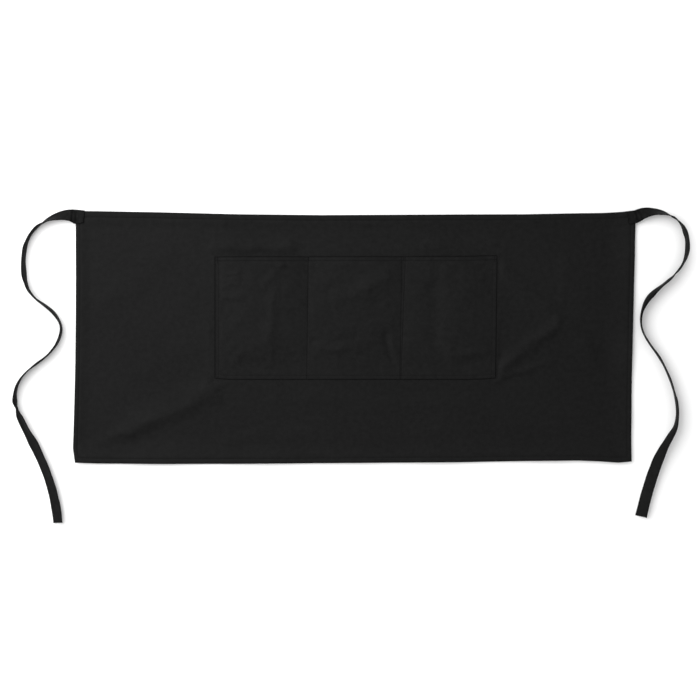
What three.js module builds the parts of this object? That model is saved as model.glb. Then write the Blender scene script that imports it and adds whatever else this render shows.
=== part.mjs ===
// A waist apron of twill, laid out flat on its back: one hemmed panel, a patch pocket sewn into three
// compartments, and two narrow ties lapped onto the upper corners, which wind down beside the panel.
//
// Millimetres. X runs along the waist, Y towards it, and Z up from the surface that the apron lies on.
// The origin is the middle of the panel's underside.

import * as THREE from 'three';

// Cloth and clearances
const CLOTH = 1; // wall of the twill
const TURNED = 1; // what the layers turned under a hem or seam add to the wall
const GAP = 0.3; // left between pieces that are sewn together
const LEDGE = 0.4; // run of the step where the turned layers end
const SAG = 14; // run over which the wall comes down from a hem to what it lies on

// Panel
const APRON_WIDTH = 900;
const APRON_DROP = 400;
const SIDE_HEM = 10;
const BOTTOM_HEM = 11;
const WAIST_HEM = 12;
const PANEL_MESH = 22; // widest spacing of the panel's grid
const FOLD_HEIGHT = 4; // the tallest fold of the panel
const FOLD_FADE = 26; // run over which folds die out before a hem
const SIDE_EASE = 200; // how far in from a side its unevenness is felt
const END_EASE = 60; // the same for the waist and bottom edges

// Pocket
const POCKET_WIDTH = 454;
const POCKET_HEIGHT = 197;
const POCKET_BELOW_WAIST = 68;
const POCKET_OFF_CENTRE = 1.5;
const POCKET_SEAM = 9; // seam allowance turned under at the sides and foot
const MOUTH_HEM = 10;
const POCKET_MESH = 15;
const POCKET_REACH = 4; // the panel stays flat this far round the pocket
const PUFF = 7; // height of a compartment at its middle
const PUFF_POWER = 2.5; // how flat its top is: 2 is a plain arch
const PUFF_RUN = 45; // run over which it rises from the foot seam
const WRINKLE = 1.2; // the deepest wrinkle of the pocket

// Ties
const TIE_WIDTH = 19;
const TIE_THICKNESS = 1.5;
const TIE_LAP = 15; // length sewn onto the panel
const LEFT_TIE_FREE = 611;
const RIGHT_TIE_FREE = 602;
const TIE_LANDING = 40; // run over which a tie comes down from the panel to the surface
const TIE_MESH = 7;

// Unevenness of the side edges. at: share of the drop, from the bottom; left, right: shares of the width.
const SIDE_EDGES = [
  { at: 0, left: -0.001, right: -0.0054 },
  { at: 0.06, left: -0.005, right: -0.005 },
  { at: 0.12, left: -0.004, right: -0.005 },
  { at: 0.25, left: -0.0025, right: -0.0048 },
  { at: 0.4, left: -0.0007, right: -0.0036 },
  { at: 0.55, left: 0, right: -0.002 },
  { at: 0.75, left: 0.0005, right: 0 },
  { at: 0.95, left: 0, right: 0.0015 },
  { at: 1, left: -0.001, right: 0.0038 },
];

// Unevenness of the waist and bottom edges. at: share of the width; waist, bottom: shares of the drop.
const END_EDGES = [
  { at: 0, waist: 0.0153, bottom: 0.002 },
  { at: 0.04, waist: 0.0133, bottom: -0.001 },
  { at: 0.15, waist: 0.008, bottom: -0.003 },
  { at: 0.29, waist: 0.001, bottom: -0.0025 },
  { at: 0.44, waist: -0.0024, bottom: 0 },
  { at: 0.6, waist: 0, bottom: 0.001 },
  { at: 0.7, waist: 0.001, bottom: 0.0036 },
  { at: 0.8, waist: 0.0015, bottom: 0.0077 },
  { at: 0.9, waist: 0.006, bottom: 0.0097 },
  { at: 0.94, waist: 0.0075, bottom: 0.0077 },
  { at: 0.975, waist: 0.012, bottom: 0.0024 },
  { at: 1, waist: 0.019, bottom: 0.007 },
];

// Folds of the panel, each a low ridge along a line. Ends: shares of the width and the drop, from the lower
// left corner. wide: half width as a share of the drop; high: share of FOLD_HEIGHT.
const PANEL_FOLDS = [
  { fromX: 0.075, fromY: 0.11, toX: 0.255, toY: 0.29, wide: 0.05, high: 1 },
  { fromX: 0.775, fromY: 0.41, toX: 0.86, toY: 0.55, wide: 0.045, high: 0.9 },
  { fromX: 0.775, fromY: 0.8, toX: 0.925, toY: 0.46, wide: 0.06, high: 0.45 },
  { fromX: 0.876, fromY: 0.82, toX: 0.87, toY: 0.64, wide: 0.05, high: 0.4 },
  { fromX: 0.25, fromY: 0.88, toX: 0.385, toY: 0.875, wide: 0.035, high: 0.35 },
  { fromX: 0.63, fromY: 0.89, toX: 0.745, toY: 0.88, wide: 0.035, high: 0.35 },
  { fromX: 0.3, fromY: 0.24, toX: 0.72, toY: 0.25, wide: 0.04, high: 0.3 },
  { fromX: 0.28, fromY: 0.1, toX: 0.66, toY: 0.095, wide: 0.04, high: 0.3 },
  { fromX: 0.06, fromY: 0.62, toX: 0.15, toY: 0.86, wide: 0.07, high: 0.3 },
];

// Unevenness of the pocket's mouth and foot. at: share of its width; mouth, foot: shares of its height.
const POCKET_EDGES = [
  { at: 0, mouth: 0, foot: 0.0098 },
  { at: 0.05, mouth: 0, foot: 0 },
  { at: 0.9, mouth: 0.002, foot: 0 },
  { at: 0.95, mouth: 0.0107, foot: 0.003 },
  { at: 1, mouth: 0.0107, foot: 0.0123 },
];

// The two seams between compartments, as shares of the pocket's width at its mouth and its foot.
const POCKET_DIVIDERS = [
  { mouth: 0.3315, foot: 0.3258 },
  { mouth: 0.6696, foot: 0.658 },
];

// Wrinkles of the pocket, ridges where high is positive and dents where it is negative. Ends: shares of the
// pocket's width and height, from its lower left corner. wide: half width as a share of the height; high:
// share of WRINKLE.
const POCKET_WRINKLES = [
  { fromX: 0.195, fromY: 0.12, toX: 0.195, toY: 0.82, wide: 0.05, high: 1 },
  { fromX: 0.23, fromY: 0.1, toX: 0.225, toY: 0.78, wide: 0.04, high: -0.6 },
  { fromX: 0.1, fromY: 0.13, toX: 0.115, toY: 0.15, wide: 0.09, high: -0.7 },
  { fromX: 0.42, fromY: 0.67, toX: 0.6, toY: 0.88, wide: 0.06, high: 0.9 },
  { fromX: 0.49, fromY: 0.6, toX: 0.63, toY: 0.75, wide: 0.05, high: -0.7 },
  { fromX: 0.37, fromY: 0.3, toX: 0.5, toY: 0.31, wide: 0.05, high: -0.6 },
  { fromX: 0.745, fromY: 0.28, toX: 0.74, toY: 0.77, wide: 0.05, high: -0.9 },
  { fromX: 0.805, fromY: 0.6, toX: 0.805, toY: 0.92, wide: 0.05, high: 0.8 },
  { fromX: 0.83, fromY: 0.16, toX: 0.97, toY: 0.19, wide: 0.05, high: -0.8 },
];

// Each tie along its free length. at: share of that length; turn: degrees from straight out of the corner
// towards the bottom; roll: degrees from flat, 90 being on edge.
const LEFT_TIE = [
  { at: 0, turn: -6, roll: 0 },
  { at: 0.05, turn: 16, roll: 50 },
  { at: 0.1, turn: 39, roll: 88 },
  { at: 0.175, turn: 76, roll: 108 },
  { at: 0.25, turn: 100, roll: 108 },
  { at: 0.275, turn: 112, roll: 96 },
  { at: 0.325, turn: 147, roll: 82 },
  { at: 0.355, turn: 142, roll: 82 },
  { at: 0.4, turn: 117, roll: 86 },
  { at: 0.43, turn: 88, roll: 100 },
  { at: 0.475, turn: 53, roll: 96 },
  { at: 0.525, turn: 35, roll: 93 },
  { at: 0.56, turn: 38, roll: 92 },
  { at: 0.6, turn: 59, roll: 93 },
  { at: 0.66, turn: 97, roll: 104 },
  { at: 0.7, turn: 115, roll: 68 },
  { at: 0.775, turn: 118, roll: 46 },
  { at: 0.85, turn: 112, roll: 45 },
  { at: 1, turn: 95, roll: 40 },
];
const RIGHT_TIE = [
  { at: 0, turn: -28, roll: 0 },
  { at: 0.05, turn: 2, roll: 55 },
  { at: 0.1, turn: 31, roll: 85 },
  { at: 0.175, turn: 81, roll: 66 },
  { at: 0.25, turn: 125, roll: 88 },
  { at: 0.29, turn: 138, roll: 96 },
  { at: 0.325, turn: 143, roll: 101 },
  { at: 0.36, turn: 134, roll: 110 },
  { at: 0.45, turn: 84, roll: 78 },
  { at: 0.49, turn: 57, roll: 85 },
  { at: 0.525, turn: 53, roll: 87 },
  { at: 0.6, turn: 68, roll: 88 },
  { at: 0.66, turn: 76, roll: 87 },
  { at: 0.71, turn: 88, roll: 77 },
  { at: 0.735, turn: 103, roll: 80 },
  { at: 0.75, turn: 117, roll: 95 },
  { at: 0.78, turn: 121, roll: 116 },
  { at: 0.85, turn: 112, roll: 142 },
  { at: 1, turn: 102, roll: 160 },
];

// Where the ties are sewn on. outward: which way each one leaves the panel; proud: how far its edge stands
// above the waist edge.
const TIES = [
  { name: 'tie_left', outward: -1, proud: 2, free: LEFT_TIE_FREE, route: LEFT_TIE },
  { name: 'tie_right', outward: 1, proud: 0.2, free: RIGHT_TIE_FREE, route: RIGHT_TIE },
];

const POCKET_LEFT = POCKET_OFF_CENTRE - POCKET_WIDTH / 2;
const POCKET_TOP = APRON_DROP / 2 - POCKET_BELOW_WAIST;
const POCKET_FOOT = POCKET_TOP - POCKET_HEIGHT;

const { clamp, degToRad, lerp, smoothstep } = THREE.MathUtils;

// The value of one column of a table at a share of its length, in straight lines between its rows.
function read(rows, column, at) {
  const next = Math.max(1, rows.findIndex((row) => row.at >= at));
  const from = rows[next - 1];
  const to = rows[next];
  return lerp(from[column], to[column], clamp((at - from.at) / (to.at - from.at), 0, 1));
}

// Positions from one place to another, evenly spaced and no further apart than a grid's spacing.
function spaced(from, to, spacing) {
  const count = Math.max(1, Math.ceil((to - from) / spacing));
  return Array.from({ length: count + 1 }, (_, i) => lerp(from, to, i / count));
}

// Positions across a piece that has a hem at both edges, passing through the given stops.
function stations(length, firstHem, lastHem, stops, spacing) {
  const inner = [firstHem + SAG, ...stops, length - lastHem - SAG];
  const middle = inner.slice(1).flatMap((to, i) => spaced(inner[i], to, spacing).slice(1));
  const first = [0, firstHem, firstHem + LEDGE, firstHem + SAG];
  const last = [length - lastHem - LEDGE, length - lastHem, length];
  return [...first, ...middle, ...last];
}

// Height that a table's ridges and dents give at a point, where the ends of each are shares of a rectangle.
function relief(rows, x, y, { left, foot, width, height, tallest }) {
  let z = 0;
  for (const row of rows) {
    const ax = left + row.fromX * width;
    const ay = foot + row.fromY * height;
    const bx = left + row.toX * width;
    const by = foot + row.toY * height;
    const run = (bx - ax) ** 2 + (by - ay) ** 2;
    const t = clamp(((x - ax) * (bx - ax) + (y - ay) * (by - ay)) / run, 0, 1);
    const away = Math.hypot(x - lerp(ax, bx, t), y - lerp(ay, by, t)) / (row.wide * height);
    z += row.high * tallest * Math.exp(-away * away);
  }
  return z;
}

// A closed body from rings of points that all have as many points, capped at both ends.
function ringsToGeometry(rings) {
  const count = rings[0].length;
  const positions = rings.flat().flatMap((p) => [p.x, p.y, p.z]);
  const index = [];
  for (let r = 0; r + 1 < rings.length; r += 1) {
    for (let i = 0; i < count; i += 1) {
      const a = r * count + i;
      const b = r * count + ((i + 1) % count);
      index.push(a, b, b + count, a, b + count, a + count);
    }
  }
  const end = (rings.length - 1) * count;
  for (let i = 1; i + 1 < count; i += 1) {
    index.push(0, i + 1, i);
    index.push(end, end + i, end + i + 1);
  }
  const geometry = new THREE.BufferGeometry();
  geometry.setAttribute('position', new THREE.Float32BufferAttribute(positions, 3));
  geometry.setIndex(index);
  geometry.computeVertexNormals();
  return geometry;
}

// A closed sheet of cloth on a grid, with its turned edges. place gives a grid point's x and y, lift the
// height of the cloth there above the surface that it lies on.
function clothGeometry({ across, along, hems, surface, place, lift }) {
  const width = across[across.length - 1];
  const length = along[along.length - 1];
  const topSide = [];
  const underSide = [];
  for (const v of along) {
    for (const u of across) {
      const inside = Math.min(u - hems.left, width - u - hems.right, v - hems.foot, length - v - hems.head);
      const [x, y] = place(u, v);
      const base = surface + lift(u, v, x, y);
      const top = base + CLOTH + TURNED * (1 - smoothstep(inside, 0, SAG));
      topSide.push(x, y, top);
      underSide.push(x, y, inside < LEDGE / 2 ? base : top - CLOTH);
    }
  }
  const columns = across.length;
  const points = columns * along.length;
  const index = [];
  for (let r = 0; r + 1 < along.length; r += 1) {
    for (let c = 0; c + 1 < columns; c += 1) {
      const a = r * columns + c;
      index.push(a, a + 1, a + columns + 1, a, a + columns + 1, a + columns);
      const b = a + points;
      index.push(b, b + columns + 1, b + 1, b, b + columns, b + columns + 1);
    }
  }
  for (const [a, b] of rim(columns, along.length)) {
    index.push(a, a + points, b + points, a, b + points, b);
  }
  const geometry = new THREE.BufferGeometry();
  geometry.setAttribute('position', new THREE.Float32BufferAttribute([...topSide, ...underSide], 3));
  geometry.setIndex(index);
  geometry.computeVertexNormals();
  return geometry;
}

// The grid points round the edge of a sheet, in pairs, anticlockwise seen from above.
function rim(columns, rows) {
  const loop = [];
  for (let c = 0; c < columns - 1; c += 1) loop.push(c);
  for (let r = 0; r < rows - 1; r += 1) loop.push(r * columns + columns - 1);
  for (let c = columns - 1; c > 0; c -= 1) loop.push((rows - 1) * columns + c);
  for (let r = rows - 1; r > 0; r -= 1) loop.push(r * columns);
  return loop.map((a, i) => [a, loop[(i + 1) % loop.length]]);
}

// Where a point of the flat panel lies, once its edges have their unevenness.
function panelPlace(u, v) {
  const left = read(SIDE_EDGES, 'left', v / APRON_DROP) * Math.max(0, 1 - u / SIDE_EASE);
  const right = read(SIDE_EDGES, 'right', v / APRON_DROP) * Math.max(0, 1 - (APRON_WIDTH - u) / SIDE_EASE);
  const bottom = read(END_EDGES, 'bottom', u / APRON_WIDTH) * Math.max(0, 1 - v / END_EASE);
  const waist = read(END_EDGES, 'waist', u / APRON_WIDTH) * Math.max(0, 1 - (APRON_DROP - v) / END_EASE);
  return [
    u - APRON_WIDTH / 2 + (left + right) * APRON_WIDTH,
    v - APRON_DROP / 2 + (bottom + waist) * APRON_DROP,
  ];
}

// Height of the panel's folds, which die out at the hems and round the pocket.
function panelLift(u, v) {
  const x = u - APRON_WIDTH / 2;
  const y = v - APRON_DROP / 2;
  const toHem = Math.min(
    u - SIDE_HEM,
    APRON_WIDTH - u - SIDE_HEM,
    v - BOTTOM_HEM,
    APRON_DROP - v - WAIST_HEM,
  );
  const besidePocket = Math.max(
    POCKET_LEFT - x,
    x - POCKET_LEFT - POCKET_WIDTH,
    POCKET_FOOT - y,
    y - POCKET_TOP,
  );
  const free = smoothstep(toHem, 0, FOLD_FADE) * smoothstep(besidePocket, POCKET_REACH, FOLD_FADE);
  const panel = {
    left: -APRON_WIDTH / 2,
    foot: -APRON_DROP / 2,
    width: APRON_WIDTH,
    height: APRON_DROP,
    tallest: FOLD_HEIGHT,
  };
  return free * relief(PANEL_FOLDS, x, y, panel);
}

function apronPanel() {
  const pocketFrom = POCKET_LEFT + APRON_WIDTH / 2 - POCKET_REACH;
  const pocketTo = pocketFrom + POCKET_WIDTH + 2 * POCKET_REACH;
  const footAt = POCKET_FOOT + APRON_DROP / 2 - POCKET_REACH;
  const mouthAt = POCKET_TOP + APRON_DROP / 2 + POCKET_REACH;
  return clothGeometry({
    across: stations(APRON_WIDTH, SIDE_HEM, SIDE_HEM, [pocketFrom, pocketTo], PANEL_MESH),
    along: stations(APRON_DROP, BOTTOM_HEM, WAIST_HEM, [footAt, mouthAt], PANEL_MESH),
    hems: { left: SIDE_HEM, right: SIDE_HEM, foot: BOTTOM_HEM, head: WAIST_HEM },
    surface: 0,
    place: panelPlace,
    lift: panelLift,
  });
}

// Shares of the pocket's width where its compartments start and end, at a share of its height.
function compartmentEdges(height) {
  return [0, ...POCKET_DIVIDERS.map((seam) => lerp(seam.foot, seam.mouth, height)), 1];
}

// Where a point of the flat pocket lies: its columns lean with the seams between compartments.
function pocketPlace(u, v) {
  const nominal = compartmentEdges(1);
  const leaning = compartmentEdges(v / POCKET_HEIGHT);
  const across = u / POCKET_WIDTH;
  const part = Math.max(0, nominal.findIndex((edge) => edge >= across) - 1);
  const within = (across - nominal[part]) / (nominal[part + 1] - nominal[part]);
  const foot = read(POCKET_EDGES, 'foot', across) * Math.max(0, 1 - v / END_EASE);
  const mouth = read(POCKET_EDGES, 'mouth', across) * Math.max(0, 1 - (POCKET_HEIGHT - v) / END_EASE);
  return [
    POCKET_LEFT + lerp(leaning[part], leaning[part + 1], within) * POCKET_WIDTH,
    POCKET_FOOT + v + (foot + mouth) * POCKET_HEIGHT,
  ];
}

// Height of a compartment over the panel: nothing at its seams, most at its middle, open at the mouth.
function pocketLift(u, v, x, y) {
  const edges = compartmentEdges(1);
  edges[0] = POCKET_SEAM / POCKET_WIDTH;
  edges[edges.length - 1] = 1 - edges[0];
  const across = clamp(u / POCKET_WIDTH, edges[0], edges[edges.length - 1]);
  const part = Math.max(0, edges.findIndex((edge) => edge >= across) - 1);
  const within = (across - edges[part]) / (edges[part + 1] - edges[part]);
  const arch = 1 - Math.abs(2 * within - 1) ** PUFF_POWER;
  const open = arch * smoothstep(v, POCKET_SEAM, POCKET_SEAM + PUFF_RUN);
  const pocket = {
    left: POCKET_LEFT,
    foot: POCKET_FOOT,
    width: POCKET_WIDTH,
    height: POCKET_HEIGHT,
    tallest: WRINKLE,
  };
  return open * (PUFF + relief(POCKET_WRINKLES, x, y, pocket));
}

function pocket() {
  const seams = POCKET_DIVIDERS.map((seam) => seam.mouth * POCKET_WIDTH);
  return clothGeometry({
    across: stations(POCKET_WIDTH, POCKET_SEAM, POCKET_SEAM, seams, POCKET_MESH),
    along: stations(POCKET_HEIGHT, POCKET_SEAM, MOUTH_HEM, [], POCKET_MESH),
    hems: { left: POCKET_SEAM, right: POCKET_SEAM, foot: POCKET_SEAM, head: MOUTH_HEM },
    surface: CLOTH + GAP,
    place: pocketPlace,
    lift: pocketLift,
  });
}

// The four corners of a tie's section, in the plane square to its run.
function tieSection(centre, outward, turn, roll) {
  const across = new THREE.Vector3(
    -outward * Math.sin(turn) * Math.cos(roll),
    -Math.cos(turn) * Math.cos(roll),
    Math.sin(roll),
  );
  const along = new THREE.Vector3(outward * Math.cos(turn), -Math.sin(turn), 0);
  const through = new THREE.Vector3().crossVectors(along, across);
  const corners = [[-1, -1], [1, -1], [1, 1], [-1, 1]];
  return corners.map(([w, t]) => centre
    .clone()
    .addScaledVector(across, (w * TIE_WIDTH) / 2)
    .addScaledVector(through, (t * TIE_THICKNESS) / 2));
}

// A tie: flat where it is sewn on, then twisting onto its edge as it winds over the surface.
function tie({ outward, proud, free, route }) {
  const lapHeight = CLOTH + TURNED + GAP;
  const [cornerX, cornerY] = panelPlace(outward < 0 ? 0 : APRON_WIDTH, APRON_DROP);
  const lapTurn = degToRad(route[0].turn);
  const centre = new THREE.Vector3(
    cornerX - outward * Math.cos(lapTurn) * TIE_LAP,
    cornerY + proud - TIE_WIDTH / 2 + Math.sin(lapTurn) * TIE_LAP,
    lapHeight + TIE_THICKNESS / 2,
  );
  const rings = [tieSection(centre, outward, lapTurn, 0)];
  centre.x = cornerX;
  centre.y -= Math.sin(lapTurn) * TIE_LAP;
  rings.push(tieSection(centre, outward, lapTurn, 0));
  const steps = Math.ceil(free / TIE_MESH);
  for (let i = 1; i <= steps; i += 1) {
    const step = free / steps;
    const halfWay = degToRad(read(route, 'turn', (i - 0.5) / steps));
    const turn = degToRad(read(route, 'turn', i / steps));
    const roll = degToRad(read(route, 'roll', i / steps));
    const onEdge = (TIE_WIDTH * Math.abs(Math.sin(roll)) + TIE_THICKNESS * Math.abs(Math.cos(roll))) / 2;
    centre.x += outward * Math.cos(halfWay) * step;
    centre.y -= Math.sin(halfWay) * step;
    centre.z = onEdge + lapHeight * (1 - smoothstep(i * step, 0, TIE_LANDING));
    rings.push(tieSection(centre, outward, turn, roll));
  }
  return ringsToGeometry(rings);
}

const twill = new THREE.MeshStandardMaterial({ name: 'twill', color: 0x202020, roughness: 0.85, metalness: 0 });
const tape = new THREE.MeshStandardMaterial({ name: 'tape', color: 0x272727, roughness: 0.8, metalness: 0 });

function piece(name, geometry, material) {
  const mesh = new THREE.Mesh(geometry, material);
  mesh.name = name;
  return mesh;
}

const apron = new THREE.Group();
apron.add(piece('apron_panel', apronPanel(), twill));
apron.add(piece('pocket', pocket(), twill));
for (const one of TIES) {
  apron.add(piece(one.name, tie(one), tape));
}

export default apron;
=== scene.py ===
# A waist apron of black twill, laid out flat on a pale floor and seen from straight above: a hemmed panel, a
# patch pocket in three compartments, two ties that wind down beside it, and the stitches that hold them.
# Metres throughout. X runs along the waist, Y towards it, and Z up from the floor.

import math
from collections import namedtuple

import bpy
import numpy as np
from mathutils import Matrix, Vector


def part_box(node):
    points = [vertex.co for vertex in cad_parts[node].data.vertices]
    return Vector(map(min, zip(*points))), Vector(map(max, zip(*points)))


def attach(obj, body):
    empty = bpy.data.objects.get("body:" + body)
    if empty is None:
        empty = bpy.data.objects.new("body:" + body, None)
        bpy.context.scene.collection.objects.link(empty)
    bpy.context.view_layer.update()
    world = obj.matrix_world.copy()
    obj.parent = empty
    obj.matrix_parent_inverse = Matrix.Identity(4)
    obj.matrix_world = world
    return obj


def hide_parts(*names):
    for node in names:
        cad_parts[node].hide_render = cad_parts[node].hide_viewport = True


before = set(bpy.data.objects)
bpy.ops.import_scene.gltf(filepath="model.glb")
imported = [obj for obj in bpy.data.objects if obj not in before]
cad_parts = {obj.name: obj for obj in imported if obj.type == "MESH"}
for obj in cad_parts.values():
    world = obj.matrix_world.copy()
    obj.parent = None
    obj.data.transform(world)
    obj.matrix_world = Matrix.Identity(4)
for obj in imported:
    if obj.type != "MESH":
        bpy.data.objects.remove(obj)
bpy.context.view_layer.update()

bl_info = {
    "name": "Waist Apron",
    "version": (1, 0, 0),
    "blender": (4, 5, 0),
    "location": "3D View > Sidebar > Apron",
    "description": "Makes a hemmed waist apron with a divided patch pocket and two ties, laid flat",
    "category": "Mesh",
}

MM = 0.001

# Cloth
LEDGE = 0.4 * MM  # run of the step where turned layers end
SAG = 14 * MM  # run over which the top comes down from a hem
SEATED = 0.06 * MM  # left between pieces that are sewn together
HEM_BULGE = 0.2 * MM  # how far a turned edge stands up between its stitches and its fold
BULGE_SLOPE = 1.4  # how many times steeper that bulge is than one as wide as the hem
GROOVE_DEPTH = 0.3 * MM  # how far a row of stitches pulls the cloth in
GROOVE_HALF_WIDTH = 0.8 * MM
LINE_HALF_WIDTH = 0.7 * MM  # of the painted shade line along a seam or a folded edge, and of the dent beside the pocket's edge
PUCKER_DEPTH = 0.28 * MM
PUCKER_REACH = 7 * MM
PUCKER_LEVEL = 0.55  # share of their depth that puckers have everywhere
HEM_PUCKERS = 31  # seeds of the puckers, two for each row
POCKET_PUCKERS = 51
DIVIDER_PUCKERS = 71
FOLD_FADE = 26 * MM  # run over which folds die out before a hem
POCKET_FADE = 11 * MM  # run over which they die out before the pocket
SIDE_EASE = 200 * MM  # how far in from a side its unevenness is felt
END_EASE = 60 * MM
POCKET_REACH = 1 * MM  # the panel stays flat this far round the pocket
POCKET_BEDDING = 0.8 * MM  # how far the layers of the pocket keep the panel off the floor
BESIDE_LEVEL = 0.35  # share of the panel's unevenness that is left at the pocket's edge
PUFF_POWER = 2.4  # how flat the top of a compartment is
PUFF_RUN = 55 * MM  # run over which a compartment rises from the foot seam
WRINKLE_POWER = 8  # how soon wrinkles reach their full height beside a seam
POCKET_TURNED = 0.6  # share of a hem's turned layers that the pocket's edges have
LATTICE = 128  # cells before the random unevenness repeats
WAVE_GAIN = 1.7  # brings that unevenness up to about 1
HOLLOW_SOFTNESS = 0.06  # how softly a hump starts

# Painted shade, from 0 to 1: how much darker the colour is painted at folded edges, stitches and seams
EDGE_SHADE = 0.9
HEM_STITCH_SHADE = 0.2
POCKET_EDGE_SHADE = 1
SECOND_ROW_SHADE = 0.15
MOUTH_SHADE = 0.5
DIVIDER_SHADE = 0.6
GATHER_SHADE = 0.9
STEEP_SHADE = 0.6  # painted shade where a tie stands on edge
STEEP_POWER = 4
TACK_SHADE = 0.9
TACK_WIDENED = 1.5  # how much wider than a seam's the painted shade line of a bar tack is

# Distances from a folded edge at which a sheet's grid has a line, before its stitches and beyond its hem
EDGE_LINES = [0, 0.1 * MM, 0.35 * MM, 0.7 * MM, 1.1 * MM]
OUTLINE_REACH = 3.5 * MM  # the panel's grid is fine this far beside the pocket's edges
OUTLINE_SPACING = 0.7 * MM
SEAM_REACH = 3.5 * MM  # the pocket's grid is fine this far beside the seams between compartments
SEAM_SPACING = 0.5 * MM
STITCH_LINES = [-0.9 * MM, -0.45 * MM, 0, 0.45 * MM, 0.9 * MM]
BEYOND_HEM_LINES = [0, LEDGE, 1.4 * MM, 2.8 * MM, 4.8 * MM]

# Random unevenness. high: its height; cell: the size of one hump or hollow; seed: which random one it is;
# drawn_out: how many times longer it is along X
Uneven = namedtuple("Uneven", "high cell seed drawn_out", defaults=[1])
PANEL_HUMPS = [Uneven(0.9 * MM, 120 * MM, 3), Uneven(0.5 * MM, 45 * MM, 5)]
PANEL_WAVES = [Uneven(0.15 * MM, 14 * MM, 7), Uneven(0.08 * MM, 9 * MM, 9, 3)]
POCKET_WAVES = [Uneven(0.7 * MM, 40 * MM, 17), Uneven(0.32 * MM, 16 * MM, 19)]
FOLD_BREAKS = Uneven(0.45, 30 * MM, 61)  # share by which folds rise and sink along their lines
FOLD_BEND_X = Uneven(3.5 * MM, 30 * MM, 63)  # how far folds stray from their lines
FOLD_BEND_Y = Uneven(3.5 * MM, 30 * MM, 65)
PUCKER_CELL = 9 * MM
PUCKER_GROUPS = 63 * MM  # length over which puckers come and go
TIE_ROLLS = Uneven(5, 26 * MM, 23)  # degrees
TIE_CUPS = Uneven(14, 31 * MM, 29)  # degrees
TIE_DENTS = Uneven(0.25 * MM, 12 * MM, 37)
TIE_GATHERS = Uneven(1, 5 * MM, 41)

# How an edge of the panel stands off the floor. run: how far in from the edge; level: its height, as a share
# of the panel's rise; uneven: how that changes along the edge
EdgeRise = namedtuple("EdgeRise", "run level uneven")
RIGHT_RISE = EdgeRise(46 * MM, 0.8, Uneven(0.45, 70 * MM, 11))
BOTTOM_RISE = EdgeRise(44 * MM, 0.75, Uneven(0.5, 90 * MM, 13))
OTHER_RISE = EdgeRise(26 * MM, 0.3, Uneven(0, 1, 0))

# Unevenness of the side edges. at: share of the drop, from the bottom; left, right: shares of the width
SideEdge = namedtuple("SideEdge", "at left right")
SIDE_EDGES = [
    SideEdge(0, -0.001, -0.0054),
    SideEdge(0.06, -0.005, -0.0057),
    SideEdge(0.12, -0.004, -0.0059),
    SideEdge(0.25, -0.0025, -0.0054),
    SideEdge(0.4, -0.0009, -0.0047),
    SideEdge(0.55, -0.0001, -0.0028),
    SideEdge(0.75, 0.0003, -0.0006),
    SideEdge(0.95, 0, 0.0015),
    SideEdge(1, -0.001, 0.0038),
]

# Unevenness of the waist and bottom edges. at: share of the width; waist, bottom: shares of the drop
EndEdge = namedtuple("EndEdge", "at waist bottom")
END_EDGES = [
    EndEdge(0, 0.0153, 0.002),
    EndEdge(0.04, 0.0149, -0.001),
    EndEdge(0.15, 0.0105, -0.003),
    EndEdge(0.29, 0.0026, -0.0025),
    EndEdge(0.44, -0.001, 0.0002),
    EndEdge(0.6, 0.0008, 0.0026),
    EndEdge(0.7, 0.0019, 0.0044),
    EndEdge(0.8, 0.0024, 0.0087),
    EndEdge(0.9, 0.0067, 0.0109),
    EndEdge(0.94, 0.0075, 0.0077),
    EndEdge(0.975, 0.012, 0.0024),
    EndEdge(1, 0.019, 0.007),
]

# Unevenness of the pocket's mouth and foot. at: share of its width; mouth, foot: shares of its height
PocketEdge = namedtuple("PocketEdge", "at mouth foot")
POCKET_EDGES = [
    PocketEdge(0, 0, 0.0098),
    PocketEdge(0.05, 0, 0),
    PocketEdge(0.9, 0.002, 0),
    PocketEdge(0.95, 0.0107, 0.003),
    PocketEdge(1, 0.0107, 0.0123),
]

# Seams between compartments. mouth, foot: shares of the pocket's width there; apart_mouth, apart_foot: half
# the distance between two rows of stitches, nothing for a single row
Divider = namedtuple("Divider", "mouth foot apart_mouth apart_foot")
POCKET_DIVIDERS = [
    Divider(0.3315, 0.3258, 0, 0),
    Divider(0.6696, 0.658, 2.8 * MM, 0.8 * MM),
]

# How far the pocket's right side is drawn in at the foot, as a share of the pocket's width
POCKET_DRAWN_IN = 0.005

# Ridges, and dents where high is negative, along lines. Ends: shares of the cloth's width and height from its
# lower left corner. wide: half width as a share of the height; high: share of the tallest; lean: how much
# wider the side on the left of the line is than the other
Fold = namedtuple("Fold", "from_x from_y to_x to_y wide high lean", defaults=[0])
PANEL_FOLDS = [
    Fold(0.1, 0.13, 0.245, 0.285, 0.044, 0.85, 0.25),
    Fold(0.06, 0.09, 0.12, 0.15, 0.03, 0.3, 0.2),
    Fold(0.75, 0.36, 0.86, 0.55, 0.026, 0.95, 0.25),
    Fold(0.75, 0.345, 0.85, 0.4, 0.016, 0.5),
    Fold(0.75, 0.3, 0.83, 0.35, 0.02, -0.3),
    Fold(0.756, 0.42, 0.77, 0.56, 0.022, -0.7),
    Fold(0.25, 0.872, 0.385, 0.87, 0.02, 0.55),
    Fold(0.63, 0.885, 0.745, 0.885, 0.022, 0.25),
    Fold(0.765, 0.78, 0.925, 0.46, 0.034, 0.7),
    Fold(0.878, 0.8, 0.874, 0.66, 0.03, 0.25),
    Fold(0.68, 0.955, 0.88, 0.955, 0.03, 0.25),
    Fold(0.36, 0.255, 0.5, 0.262, 0.03, 0.2),
    Fold(0.52, 0.235, 0.7, 0.25, 0.035, 0.2),
    Fold(0.28, 0.1, 0.42, 0.11, 0.035, 0.25),
    Fold(0.46, 0.105, 0.64, 0.095, 0.04, 0.25),
    Fold(0.06, 0.62, 0.15, 0.86, 0.07, 0.3),
    Fold(0.12, 0.38, 0.24, 0.52, 0.06, 0.2),
]
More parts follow.
